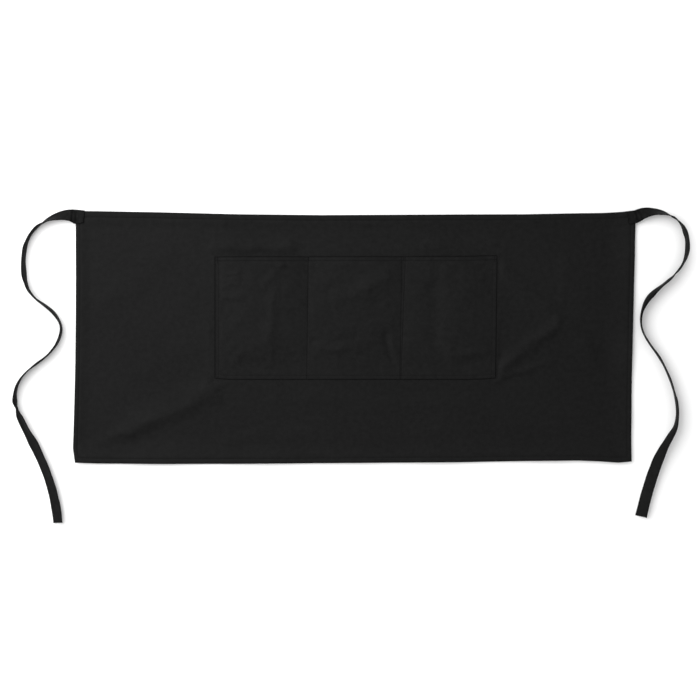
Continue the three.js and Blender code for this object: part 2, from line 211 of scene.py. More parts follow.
POCKET_WRINKLES = [
    Fold(0.192, 0.28, 0.2, 0.62, 0.045, 0.7),
    Fold(0.2, 0.04, 0.196, 0.2, 0.026, 0.55),
    Fold(0.205, 0.66, 0.212, 0.78, 0.03, 0.45),
    Fold(0.18, 0.79, 0.235, 0.93, 0.032, 0.6),
    Fold(0.1, 0.17, 0.15, 0.11, 0.032, -1.1),
    Fold(0.05, 0.1, 0.1, 0.2, 0.04, 0.5),
    Fold(0.02, 0.87, 0.08, 0.862, 0.018, 0.5),
    Fold(0.02, 0.813, 0.085, 0.808, 0.018, 0.55),
    Fold(0.02, 0.764, 0.08, 0.77, 0.018, 0.5),
    Fold(0.02, 0.67, 0.09, 0.68, 0.022, 0.65),
    Fold(0.43, 0.64, 0.53, 0.72, 0.06, 0.9, 0.2),
    Fold(0.54, 0.76, 0.61, 0.83, 0.05, 0.7, 0.2),
    Fold(0.35, 0.315, 0.49, 0.325, 0.026, -0.5),
    Fold(0.37, 0.245, 0.44, 0.25, 0.024, 0.5),
    Fold(0.46, 0.252, 0.51, 0.245, 0.024, 0.4),
    Fold(0.605, 0.36, 0.63, 0.15, 0.026, -1),
    Fold(0.63, 0.3, 0.65, 0.24, 0.03, 0.5),
    Fold(0.78, 0.32, 0.785, 0.72, 0.085, -1.3),
    Fold(0.815, 0.68, 0.82, 0.9, 0.035, 0.5),
    Fold(0.832, 0.1, 0.835, 0.24, 0.03, 0.7),
    Fold(0.855, 0.19, 0.975, 0.225, 0.03, 0.9),
    Fold(0.87, 0.13, 0.96, 0.14, 0.03, -0.4),
]

# Each tie along its free length. at: share of that length, below 0 on the lap; turn: degrees from straight
# out of the corner towards the bottom; roll: degrees from flat, 90 being on edge; cup: degrees that its
# section is bent through
Twist = namedtuple("Twist", "at turn roll cup")
LEFT_TIE = [
    Twist(0, -6, 0, 0),
    Twist(0.05, 16, 50, 30),
    Twist(0.075, 27, 72, 50),
    Twist(0.1, 39, 88, 35),
    Twist(0.175, 80, 99, 18),
    Twist(0.25, 100, 101, 15),
    Twist(0.275, 112, 94, 45),
    Twist(0.3, 130, 86, 45),
    Twist(0.325, 147, 95, 35),
    Twist(0.355, 142, 96, 30),
    Twist(0.4, 117, 94, 25),
    Twist(0.43, 80, 91, 20),
    Twist(0.475, 53, 89, 30),
    Twist(0.525, 35, 89, 28),
    Twist(0.56, 38, 87, 20),
    Twist(0.6, 59, 88, 15),
    Twist(0.66, 97, 99, 60),
    Twist(0.7, 115, 51, 80),
    Twist(0.775, 118, 33, 20),
    Twist(0.85, 112, 34, 10),
    Twist(1, 95, 30, 8),
]
RIGHT_TIE = [
    Twist(-0.02, -8, 0, 0),
    Twist(0, -26, 0, 0),
    Twist(0.05, 2, 55, 20),
    Twist(0.1, 31, 85, 10),
    Twist(0.15, 69, 58, 15),
    Twist(0.2, 96, 58, 15),
    Twist(0.25, 125, 72, 15),
    Twist(0.29, 138, 92, 10),
    Twist(0.325, 143, 101, 15),
    Twist(0.36, 134, 110, 50),
    Twist(0.45, 80, 78, 50),
    Twist(0.49, 57, 88, 10),
    Twist(0.525, 53, 89, 5),
    Twist(0.6, 68, 88, 5),
    Twist(0.66, 76, 87, 10),
    Twist(0.71, 92, 95, 15),
    Twist(0.735, 103, 97, 20),
    Twist(0.75, 117, 100, 30),
    Twist(0.78, 121, 116, 15),
    Twist(0.85, 110.5, 142, 10),
    Twist(1, 102, 160, 6),
]

# The two ties. outward: which way each leaves the panel; proud: how far its edge stands above the waist edge;
# spread: how much its lower half is pulled wider where it is sewn on
Tie = namedtuple("Tie", "side outward proud spread route")
TIES = [
    Tie("left", -1, 2.4 * MM, 0.45, LEFT_TIE),
    Tie("right", 1, 0.2 * MM, 0.15, RIGHT_TIE),
]
SPREAD_RUN = 9 * MM
SPREAD_MIDDLE = -3 * MM
GATHER_DEPTH = 1.1 * MM  # of the creases where a tie is sewn on
GATHER_RUN = 16 * MM
GATHER_SLANT = 0.4
GATHER_LENGTH = 0.6  # how much the gathers change across the tie, as a share of along it
LOOSE_RUN = 60 * MM  # length over which a tie comes to lie freely
TIE_EDGE = 2 * MM  # the tie's grid is finer within this distance of its cut edges
TIE_ACROSS = 1.6 * MM  # spacing of its grid across
LAP_ALONG = 1.2 * MM  # spacing of its grid along the lap
FINE_SECTIONS = 10  # how many spacings past the corner its sections are only half as far apart
HEM_SPOT = 6 * MM  # where on the waist hem a lap is seated, in from the edges
TACK_PLACES = [-1 * MM, 5.5 * MM]  # of the two bar tacks across each tie, from the panel's corner

STITCH_SIDES = 6  # and rings, of the ball that a stitch is shaped from
STITCH_END = 0.4  # share of its length from its middle past which it is pulled into the cloth
LONGEST_STITCH = 0.8  # as a share of the pitch
TACK_INSET = 0.5 * MM  # from the pocket's mouth to its bar tacks
ROW_INSET = 1 * MM  # from the pocket's mouth to the ends of its rows

FLOOR_DEPTH = 0.2 * MM  # how far the floor lies under the cloth
FLOOR_SIZE = 9
CAMERA_REACH = 20
UNDER_CUT = 1.05  # how far up the UV map the underside is laid out, as a share of the sheet's length

# Noise in the dye and nap of the twill. scale: cells a metre; dye: how much lighter or darker it makes the
# dye; nap: how much it lifts the surface
Grain = namedtuple("Grain", "scale detail rough dye nap", defaults=[0])
SLUB = Grain(900.0, 3.0, 0.6, 1.0, 1.2)
BLOOM = Grain(9.0, 2.0, 0.5, 0.4)
MOTTLE = Grain(130.0, 4.0, 0.65, 1.6, 1.5)

# Weave: ribs, and the floats that cross them. RIB_SLANT: the direction across the ribs
RIB_SLANT = (0.75, 0.66)
RIB_WOBBLE = 0.5  # how far the ribs stray, in pitches
WOBBLE_SCALE = 350.0
FLOAT_TURNS = 1.4  # floats to a pitch
FLOAT_SHARE = 0.35
WEAVE_DYE = 0.15
WEAVE_NAP = 0.5
PAINTED_SHADE_STRENGTH = 0.95  # how much darker a full painted shade makes the colour
TWILL_PITCH = 0.75 * MM
TWILL_GLOSS = 0.075
TAPE_PITCH = 0.7 * MM
TAPE_GLOSS = 0.035


def column(rows, name):
    return [getattr(row, name) for row in rows]


def read(rows, name, at):
    """One column of a table at shares of its length, in straight lines between its rows."""
    return np.interp(at, column(rows, "at"), column(rows, name))


def ease(share):
    """From 0 to 1 with a level start and end."""
    held = np.clip(share, 0, 1)
    return held * held * (3 - 2 * held)


def waves(x, y, cell, seed):
    """Smooth random unevenness from about -1 to 1, a hump or a hollow to each cell."""
    angles = np.random.default_rng(seed).uniform(0, 2 * math.pi, (LATTICE, LATTICE))
    at_x = x / cell + LATTICE / 2
    at_y = y / cell + LATTICE / 2
    cell_x = np.floor(at_x).astype(int)
    cell_y = np.floor(at_y).astype(int)
    height = 0
    for corner_x in (0, 1):
        for corner_y in (0, 1):
            angle = angles[(cell_x + corner_x) % LATTICE, (cell_y + corner_y) % LATTICE]
            off_x = at_x - cell_x - corner_x
            off_y = at_y - cell_y - corner_y
            near = (1 - ease(abs(off_x))) * (1 - ease(abs(off_y)))
            height = height + near * (np.cos(angle) * off_x + np.sin(angle) * off_y)
    return WAVE_GAIN * height


def uneven(row, x, y):
    """Height of one row of random unevenness at points."""
    return row.high * waves(x / row.drawn_out, y, row.cell, row.seed)


def humps(row, x, y):
    """The same with its hollows flattened, as cloth that lies on a floor has it."""
    height = waves(x, y, row.cell, row.seed)
    return row.high * (height + np.sqrt(height * height + HOLLOW_SOFTNESS)) / 2


def relief(rows, x, y, low, size):
    """Height of a table's folds at points, as a share of the tallest, each a little bent and broken up."""
    height = np.zeros_like(x)
    strength = 1 + uneven(FOLD_BREAKS, x, y)
    x, y = x + uneven(FOLD_BEND_X, x, y), y + uneven(FOLD_BEND_Y, x, y)
    for row in rows:
        from_x = low[0] + row.from_x * size[0]
        from_y = low[1] + row.from_y * size[1]
        run_x = (row.to_x - row.from_x) * size[0]
        run_y = (row.to_y - row.from_y) * size[1]
        run = run_x**2 + run_y**2
        share = np.clip(((x - from_x) * run_x + (y - from_y) * run_y) / run, 0, 1)
        off_x = x - from_x - share * run_x
        off_y = y - from_y - share * run_y
        on_left = np.sign(run_x * off_y - run_y * off_x)
        away = np.hypot(off_x, off_y) / (row.wide * size[1] * (1 + row.lean * on_left))
        height += row.high * np.exp(-away * away)
    return height * strength


def groove(away):
    """How far a row of stitches pulls the cloth down at a distance from it."""
    return GROOVE_DEPTH * np.exp(-((away / GROOVE_HALF_WIDTH) ** 2))


def line_falloff(away):
    """How much painted shade a seam or a folded edge gets at a distance from it, from 0 to 1; the dent beside
    the pocket's edge has the same shape.
    """
    return np.exp(-((away / LINE_HALF_WIDTH) ** 2))


def puckers(along, away, seed):
    """Small gathers that a row of stitches draws into the cloth beside it."""
    pulled = waves(along, away * 0, PUCKER_CELL, seed)
    strength = PUCKER_LEVEL + (1 - PUCKER_LEVEL) * waves(along, away * 0, PUCKER_GROUPS, seed + 1)
    return PUCKER_DEPTH * strength * pulled * np.exp(-((away / PUCKER_REACH) ** 2))


def spaced(start, end, spacing):
    """Places from one to another, evenly spaced and no further apart than the spacing."""
    return np.linspace(start, end, max(2, math.ceil((end - start) / spacing) + 1))


def hem_lines(hem, stitch):
    """Grid lines of a turned edge, by their distance from its fold."""
    at_stitch = [stitch + offset for offset in STITCH_LINES]
    between = (EDGE_LINES[-1] + at_stitch[0]) / 2
    return [*EDGE_LINES, between, *at_stitch, *(hem + offset for offset in BEYOND_HEM_LINES)]


def stations(length, first, last, spacing):
    """Grid lines across a sheet that has a turned edge at both ends."""
    middle = spaced(first[-1], length - last[-1], spacing)[1:-1]
    return np.array([*first, *middle, *(length - offset for offset in reversed(last))])


class Sheet:
    """Cloth on a grid of its flat cut: its wall's middle, normal and half thickness, and its painted shade.
    """

    def __init__(self, across, along, middle, normal, half, crease):
        self.across = across
        self.along = along
        self.middle = middle
        self.normal = normal / np.linalg.norm(normal, axis=-1, keepdims=True)
        self.half = half
        self.crease = crease

    def skin(self, side):
        return self.middle + side * self.normal * self.half[..., None]

    def at(self, u, v, side):
        """Points of the top, side 1, or the underside, side -1, and their outward normals."""
        column_at = np.clip(np.searchsorted(self.across, u) - 1, 0, len(self.across) - 2)
        row_at = np.clip(np.searchsorted(self.along, v) - 1, 0, len(self.along) - 2)
        right = (u - self.across[column_at]) / (self.across[column_at + 1] - self.across[column_at])
        up = (v - self.along[row_at]) / (self.along[row_at + 1] - self.along[row_at])
        right = np.clip(right, 0, 1)[:, None]
        up = np.clip(up, 0, 1)[:, None]
        found = []
        for grid in (self.skin(side), side * self.normal):
            lower = grid[row_at, column_at] * (1 - right) + grid[row_at, column_at + 1] * right
            upper = grid[row_at + 1, column_at] * (1 - right) + grid[row_at + 1, column_at + 1] * right
            found.append(lower * (1 - up) + upper * up)
        return found

    def make(self, name):
        """A closed mesh of the sheet, with its cut as a UV map in metres, the underside beside the top."""
        rows, columns = self.half.shape
        top = np.arange(rows * columns).reshape(rows, columns)
        under = top.copy()
        under[1:-1, 1:-1] = rows * columns + np.arange((rows - 2) * (columns - 2)).reshape(rows - 2, -1)
        points = [self.skin(1).reshape(-1, 3), self.skin(-1)[1:-1, 1:-1].reshape(-1, 3)]
        corners = [(0, 0), (0, 1), (1, 1), (1, 0)]
        quads, under_quads = [
            np.stack([grid[r : rows - 1 + r, c : columns - 1 + c] for r, c in corners], -1).reshape(-1, 4)
            for grid in (top, under)
        ]
        faces = np.concatenate([quads, under_quads[:, ::-1]])
        piece = mesh_piece(name, np.concatenate(points), faces.tolist())
        u, v = np.meshgrid(self.across, self.along)
        cut = np.stack([u, v], -1).reshape(-1, 2)
        under_cut = np.stack([u, v + self.along[-1] * UNDER_CUT], -1).reshape(-1, 2)
        loops = np.concatenate([cut[quads.ravel()], under_cut[quads[:, ::-1].ravel()]])
        uv_map = piece.data.uv_layers.new(name="cut")
        uv_map.data.foreach_set("uv", loops.astype(np.float32).ravel())
        # The painted shade is kept on each point, for the material to darken the colour with
        painted_shade_values = np.concatenate([self.crease.ravel(), self.crease[1:-1, 1:-1].ravel()])
        marks = piece.data.attributes.new("crease", "FLOAT", "POINT")
        marks.data.foreach_set("value", np.clip(painted_shade_values, 0, 1).astype(np.float32))
        return piece


def mesh_piece(name, points, faces):
    """A smooth-shaded piece in the scene from points and lists of their numbers."""
    mesh = bpy.data.meshes.new(name)
    mesh.from_pydata(points.tolist(), [], faces)
    mesh.polygons.foreach_set("use_smooth", [True] * len(mesh.polygons))
    mesh.update()
    piece = bpy.data.objects.new(name, mesh)
    bpy.context.scene.collection.objects.link(piece)
    return piece


def rounded(inset, radius):
    """Share of the full thickness at a distance in from a rounded edge."""
    return np.sqrt(1 - (1 - np.clip(inset / radius, 0, 1)) ** 2)


def frame_span(node, axis, beyond):
    """Nominal size of a cloth from its CAD node's box, once the unevenness of its edges is taken off."""
    low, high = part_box(node)
    return (high[axis] - low[axis]) / (1 + beyond)


def overhang(rows, first, last):
    """How far a table's edges reach out beyond the nominal size, as a share of it."""
    return max(column(rows, last)) - min(0, *column(rows, first))


PANEL_WIDTH = frame_span("apron_panel", 0, overhang(SIDE_EDGES, "left", "right"))
PANEL_DROP = frame_span("apron_panel", 1, overhang(END_EDGES, "bottom", "waist"))
POCKET_WIDTH = frame_span("pocket", 0, 0)
POCKET_HEIGHT = frame_span("pocket", 1, overhang(POCKET_EDGES, "foot", "mouth"))
POCKET_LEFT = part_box("pocket")[0][0]
POCKET_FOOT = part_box("pocket")[0][1]


def length_property(name, description, default):
    return bpy.props.FloatProperty(
        name=name, description=description, default=default, min=0, unit="LENGTH", precision=4
    )


def colour_property(name, description, default):
    return bpy.props.FloatVectorProperty(
        name=name, description=description, default=default, min=0, max=1, subtype="COLOR"
    )


def place_property(name, description, default):
    return bpy.props.FloatVectorProperty(
        name=name, description=description, default=default, size=len(default), unit="LENGTH", precision=4
    )


class ApronPanelSizes(bpy.types.PropertyGroup):
    width: length_property("Width", "Panel from side to side", PANEL_WIDTH)
    drop: length_property("Drop", "Panel from the waist edge to the bottom edge", PANEL_DROP)
    cloth: length_property("Cloth", "Thickness of one layer of twill as it lies", 0.9 * MM)
    turned: length_property("Turned layers", "What the layers under a hem add", 0.7 * MM)
    side_hem: length_property("Side hem", "Width of the hems at the sides", 10 * MM)
    bottom_hem: length_property("Bottom hem", "Width of the hem at the bottom", 11 * MM)
    waist_hem: length_property("Waist hem", "Width of the hem at the waist", 12 * MM)
    hem_stitch: length_property("Hem stitch", "From a hem's inner edge out to its stitches", 3 * MM)
    fold_height: length_property("Fold height", "Height of the tallest fold", 3.8 * MM)
    rise: length_property("Edge rise", "How far the right and bottom edges stand off the floor", 4.5 * MM)
    mesh: length_property("Grid", "Widest spacing of the panel's grid", 3.6 * MM)
    colour: colour_property("Colour", "Dye of the twill", (0.0045, 0.0045, 0.0045))


class ApronPocketSizes(bpy.types.PropertyGroup):
    width: length_property("Width", "Pocket from side to side", POCKET_WIDTH)
    height: length_property("Height", "Pocket from its foot to its mouth", POCKET_HEIGHT)
    seam: length_property("Seam allowance", "Cloth turned under at the sides and foot", 9 * MM)
    mouth_hem: length_property("Mouth hem", "Width of the hem at the mouth", 10 * MM)
    mouth_stitch: length_property("Mouth stitch", "From the mouth's edge to its stitches", 6.5 * MM)
    edge_stitch: length_property("Edge stitch", "From the sides and foot to their first row", 1.6 * MM)
    second_row: length_property("Second row", "From the first row of stitches to the second", 4.4 * MM)
    puff: length_property("Puff", "How far a compartment stands off the panel", 3.2 * MM)
    wrinkle: length_property("Wrinkle", "Height of the tallest wrinkle", 2 * MM)
    mesh: length_property("Grid", "Widest spacing of the pocket's grid", 2.6 * MM)


class ApronTieSizes(bpy.types.PropertyGroup):
    width: length_property("Width", "Width of the tape", 19 * MM)
    thickness: length_property("Thickness", "Thickness of the folded tape", 1.3 * MM)
    lap: length_property("Lap", "Length sewn onto the panel", 15 * MM)
    left: length_property("Left tie", "Free length of the left tie", 611 * MM)
    right: length_property("Right tie", "Free length of the right tie", 602 * MM)
    landing: length_property("Landing", "Run over which a tie comes down to the floor", 40 * MM)
    edge_stitch: length_property("Edge stitch", "From a tie's edges to their stitches", 2.2 * MM)
    mesh: length_property("Grid", "Widest spacing of a tie's sections", 2.4 * MM)
    colour: colour_property("Colour", "Dye of the tape", (0.0064, 0.0064, 0.0064))


class ApronThreadSizes(bpy.types.PropertyGroup):
    stitch: length_property("Stitch", "Length of a stitch that shows", 2.6 * MM)
    pitch: length_property("Pitch", "From one stitch to the next", 3.2 * MM)
    thickness: length_property("Thread", "Thickness of the thread", 0.45 * MM)
    tack: length_property("Bar tack", "Length of a bar tack", 10 * MM)
    tack_pitch: length_property("Tack pitch", "From one stitch of a bar tack to the next", 0.5 * MM)
    tack_width: length_property("Tack width", "Width of a bar tack", 2 * MM)
    colour: colour_property("Colour", "Dye of the thread", (0.003, 0.003, 0.0031))


class ApronStageSettings(bpy.types.PropertyGroup):
    lens: bpy.props.FloatProperty(name="Lens", description="Focal length in millimetres", default=85)
    sensor: bpy.props.FloatProperty(name="Sensor", description="Sensor width in millimetres", default=36)
    framed: length_property("Framed width", "Width of the floor that the picture takes in", 1.1286)
    aim: place_property("Aim", "Place on the floor at the middle of the picture", (-0.0082, -0.0177))
    key: bpy.props.FloatProperty(name="Key", description="Power of the large lamp", default=41, unit="POWER")
    key_size: length_property("Key size", "Width of the large lamp", 2.2)
    key_place: place_property("Key place", "Where the large lamp hangs", (-1.05, 0.65, 1.25))
    fill: bpy.props.FloatProperty(
        name="Fill", description="Strength of the light from all round", default=0.86
    )
    floor: colour_property("Floor", "Colour of the floor", (0.9, 0.9, 0.9))


def panel_place(panel, u, v):
    """Where points of the flat panel lie, once its edges have their unevenness."""
    left = read(SIDE_EDGES, "left", v / panel.drop) * np.clip(1 - u / SIDE_EASE, 0, 1)
    right = read(SIDE_EDGES, "right", v / panel.drop) * np.clip(1 - (panel.width - u) / SIDE_EASE, 0, 1)
    bottom = read(END_EDGES, "bottom", u / panel.width) * np.clip(1 - v / END_EASE, 0, 1)
    waist = read(END_EDGES, "waist", u / panel.width) * np.clip(1 - (panel.drop - v) / END_EASE, 0, 1)
    x = u - panel.width / 2 + (left + right) * panel.width
    y = v - panel.drop / 2 + (bottom + waist) * panel.drop
    return x, y


def panel_lift(panel, pocket, u, v):
    """Height of the panel's underside: its folds, its unevenness and the rise of its edges."""
    x = u - panel.width / 2
    y = v - panel.drop / 2
    to_side = np.minimum(u, panel.width - u) - panel.side_hem
    to_end = np.minimum(v - panel.bottom_hem, panel.drop - v - panel.waist_hem)
    beside_x = np.maximum(POCKET_LEFT - x, x - POCKET_LEFT - pocket.width)
    beside_y = np.maximum(POCKET_FOOT - y, y - POCKET_FOOT - pocket.height)
    beside = np.maximum(beside_x, beside_y)
    free = ease(np.minimum(to_side, to_end) / FOLD_FADE)
    free = free * ease((beside - POCKET_REACH) / (POCKET_FADE - POCKET_REACH))
    low = (-panel.width / 2, -panel.drop / 2)
    folds = panel.fold_height * free * relief(PANEL_FOLDS, x, y, low, (panel.width, panel.drop))
    rough = sum(humps(row, x, y) for row in PANEL_HUMPS) + sum(uneven(row, x, y) for row in PANEL_WAVES)
    away = ease(beside / FOLD_FADE)
    rough = rough * (BESIDE_LEVEL + (1 - BESIDE_LEVEL) * away) + POCKET_BEDDING * (1 - away)
    rise = np.maximum(edge_rise(RIGHT_RISE, panel.width - u, v), edge_rise(BOTTOM_RISE, v, u))
    rise = np.maximum(rise, edge_rise(OTHER_RISE, np.minimum(u, panel.drop - v), u))
    return np.maximum(0, folds + rough + panel.rise * rise)


def edge_rise(row, inward, along):
    """How far an edge stands off the floor, as a share of the panel's rise."""
    return (1 - ease(inward / row.run)) * (row.level + uneven(row.uneven, along, along * 0))


def beside_pocket(pocket, x, y):
    """Distance of points outside the pocket's edge, negative under it."""
    share = (x - POCKET_LEFT) / pocket.width
    foot = POCKET_FOOT + read(POCKET_EDGES, "foot", share) * pocket.height
    mouth = POCKET_FOOT + pocket.height + read(POCKET_EDGES, "mouth", share) * pocket.height
    right = POCKET_LEFT + pocket.width * compartment_edges(np.clip((y - foot) / pocket.height, 0, 1))[-1]
    beyond = [POCKET_LEFT - x, x - right, foot - y, y - mouth]
    return np.max(beyond, axis=0)


def panel_sheet(panel, pocket):
    """The panel's cloth, with the layers turned under at its hems."""
    side = hem_lines(panel.side_hem, panel.side_hem - panel.hem_stitch)
    bottom = hem_lines(panel.bottom_hem, panel.bottom_hem - panel.hem_stitch)
    waist = hem_lines(panel.waist_hem, panel.waist_hem - panel.hem_stitch)
    near_pocket = spaced(-OUTLINE_REACH, OUTLINE_REACH, OUTLINE_SPACING)
    pocket_u = POCKET_LEFT + panel.width / 2 + np.array([[0], [pocket.width]]) + near_pocket
    pocket_v = POCKET_FOOT + panel.drop / 2 + np.array([[0], [pocket.height]]) + near_pocket
    across = np.unique([*stations(panel.width, side, side, panel.mesh), *pocket_u.ravel()])
    along = np.unique([*stations(panel.drop, bottom, waist, panel.mesh), *pocket_v.ravel()])
    u, v = np.meshgrid(across, along)
    from_edges = [u, panel.width - u, v, panel.drop - v]
    hems = [panel.side_hem, panel.side_hem, panel.bottom_hem, panel.waist_hem]
    inside = np.min([edge - hem for edge, hem in zip(from_edges, hems)], axis=0)
    from_stitch = inside + panel.hem_stitch
    x, y = panel_place(panel, u, v)
    base = panel_lift(panel, pocket, u, v)
    top = base + panel.cloth + panel.turned * (1 - ease(inside / SAG))
    in_hem = inside < LEDGE / 2
    under = np.where(in_hem, base, top - panel.cloth)
    stripe = np.clip(-from_stitch / panel.side_hem * BULGE_SLOPE, 0, 1)
    shape = HEM_BULGE * np.sin(math.pi * stripe) - groove(from_stitch)
    along_edge = [v, v, u, u]
    for number, (edge, hem, place) in enumerate(zip(from_edges, hems, along_edge)):
        shape = shape + puckers(place, edge - hem + panel.hem_stitch, HEM_PUCKERS + 2 * number)
    beside = beside_pocket(pocket, x, y)
    shape = shape - GROOVE_DEPTH * line_falloff(beside)
    top = top + shape
    under = np.where(in_hem, under, np.maximum(0, under + shape))
    radius = (panel.cloth + panel.turned) / 2
    half = (top - under) / 2 * rounded(np.min(from_edges, axis=0), radius)
    middle = np.stack([x, y, (top + under) / 2], -1)
    # Painted shade: darker lines along the folded edges, the hem stitches and round the pocket's edge
    dark_edges = line_falloff(np.min(from_edges, axis=0)) + line_falloff(np.maximum(0, beside))
    crease = HEM_STITCH_SHADE * line_falloff(from_stitch) + EDGE_SHADE * dark_edges
    return Sheet(across, along, middle, np.zeros_like(middle) + (0, 0, 1), half, crease)


def compartment_edges(share):
    """Where the compartments start and end, at a share of the pocket's height, as shares of its width."""
    right = 1 - POCKET_DRAWN_IN * (1 - share)
    return [0, *(seam.foot + (seam.mouth - seam.foot) * share for seam in POCKET_DIVIDERS), right]


def pocket_place(pocket, u, v):
    """Where points of the flat pocket lie: its columns lean with the seams between compartments."""
    nominal = compartment_edges(1)
    across = u / pocket.width
    part = np.clip(np.searchsorted(nominal, across) - 1, 0, len(nominal) - 2)
    leaning = compartment_edges(v / pocket.height)
    leaning = np.stack([edge + 0 * v for edge in leaning])
    start = np.take_along_axis(leaning, part[None], 0)[0]
    end = np.take_along_axis(leaning, part[None] + 1, 0)[0]
    within = (across - np.take(nominal, part)) / (np.take(nominal, part + 1) - np.take(nominal, part))
    foot = read(POCKET_EDGES, "foot", across) * np.clip(1 - v / END_EASE, 0, 1)
    mouth = read(POCKET_EDGES, "mouth", across) * np.clip(1 - (pocket.height - v) / END_EASE, 0, 1)
    x = POCKET_LEFT + (start + (end - start) * within) * pocket.width
    y = POCKET_FOOT + v + (foot + mouth) * pocket.height
    return x, y


def pocket_arch(pocket, u, v):
    """From 0 at the pocket's seams to 1 over the middle of each compartment, open at the mouth."""
    edges = compartment_edges(1)
    edges[0] = pocket.seam / pocket.width
    edges[-1] = 1 - edges[0]
    across = np.clip(u / pocket.width, edges[0], edges[-1])
    part = np.clip(np.searchsorted(edges, across) - 1, 0, len(edges) - 2)
    within = (across - np.take(edges, part)) / (np.take(edges, part + 1) - np.take(edges, part))
    arch = 1 - abs(2 * within - 1) ** PUFF_POWER
    return arch * ease((v - pocket.seam) / PUFF_RUN)


def seam_rows(seam):
    """Sides of its line on which a seam between compartments has a row of stitches, 0 for one on the line."""
    return (-1, 1) if seam.apart_mouth else (0,)


def pocket_sheet(panel, pocket):
    """The pocket's cloth, lying on the panel at its seams and standing off it between them."""
    side = hem_lines(pocket.seam, pocket.edge_stitch + pocket.second_row)
    mouth = hem_lines(pocket.mouth_hem, pocket.mouth_stitch)
    seams = [seam.mouth * pocket.width for seam in POCKET_DIVIDERS]
    near_seams = [at + offset for at in seams for offset in spaced(-SEAM_REACH, SEAM_REACH, SEAM_SPACING)]
    across = np.sort([*stations(pocket.width, side, side, pocket.mesh), *near_seams])
    along = stations(pocket.height, side, mouth, pocket.mesh)
    u, v = np.meshgrid(across, along)
    x, y = pocket_place(pocket, u, v)
    from_edges = [u, pocket.width - u, v, pocket.height - v]
    hems = [pocket.seam, pocket.seam, pocket.seam, pocket.mouth_hem]
    inside = np.min([edge - hem for edge, hem in zip(from_edges, hems)], axis=0)
    flat_panel = panel.cloth + panel_lift(panel, pocket, x + panel.width / 2, y + panel.drop / 2)
    arch = pocket_arch(pocket, u, v)
    low = (POCKET_LEFT, POCKET_FOOT)
    wrinkles = pocket.wrinkle * relief(POCKET_WRINKLES, x, y, low, (pocket.width, pocket.height))
    rough = sum(uneven(row, x, y) for row in POCKET_WAVES)
    free = 1 - (1 - arch) ** WRINKLE_POWER
    base = flat_panel + SEATED + arch * pocket.puff + free * (wrinkles + rough)
    turned = panel.turned * POCKET_TURNED
    top = base + panel.cloth + turned * (1 - ease(inside / SAG))
    in_hem = inside < LEDGE / 2
    under = np.where(in_hem, base, top - panel.cloth)
    shape = 0
    sewn = np.min(from_edges[:3], axis=0)
    second_stitch = pocket.edge_stitch + pocket.second_row
    # Painted shade: darker lines along the pocket's edges, its rows of stitches and its seams
    crease = POCKET_EDGE_SHADE * line_falloff(np.min(from_edges, axis=0))
    crease = crease + SECOND_ROW_SHADE * line_falloff(sewn - second_stitch)
    for number, (edge, place) in enumerate(zip(from_edges[:3], [v, v, u])):
        shape = shape - groove(edge - pocket.edge_stitch) - groove(edge - second_stitch) / 2
        shape = shape + puckers(place, edge - second_stitch, POCKET_PUCKERS + 2 * number)
    shape = shape - groove(from_edges[3] - pocket.mouth_stitch)
    crease = crease + MOUTH_SHADE * line_falloff(from_edges[3] - pocket.mouth_stitch)
    for number, (seam, at) in enumerate(zip(POCKET_DIVIDERS, seams)):
        apart = seam.apart_foot + (seam.apart_mouth - seam.apart_foot) * v / pocket.height
        for row in seam_rows(seam):
            shape = shape - groove(u - at - row * apart)
            crease = crease + DIVIDER_SHADE * line_falloff(u - at - row * apart)
        shape = shape + puckers(v, u - at, DIVIDER_PUCKERS + 2 * number)
    top = top + shape
    under = np.where(in_hem, under, np.maximum(flat_panel + SEATED, under + shape))
    top = np.maximum(top, under + panel.cloth / 2)
    radius = (panel.cloth + turned) / 2
    half = (top - under) / 2 * rounded(np.min(from_edges, axis=0), radius)
    middle = np.stack([x, y, (top + under) / 2], -1)
    return Sheet(across, along, middle, np.zeros_like(middle) + (0, 0, 1), half, crease)


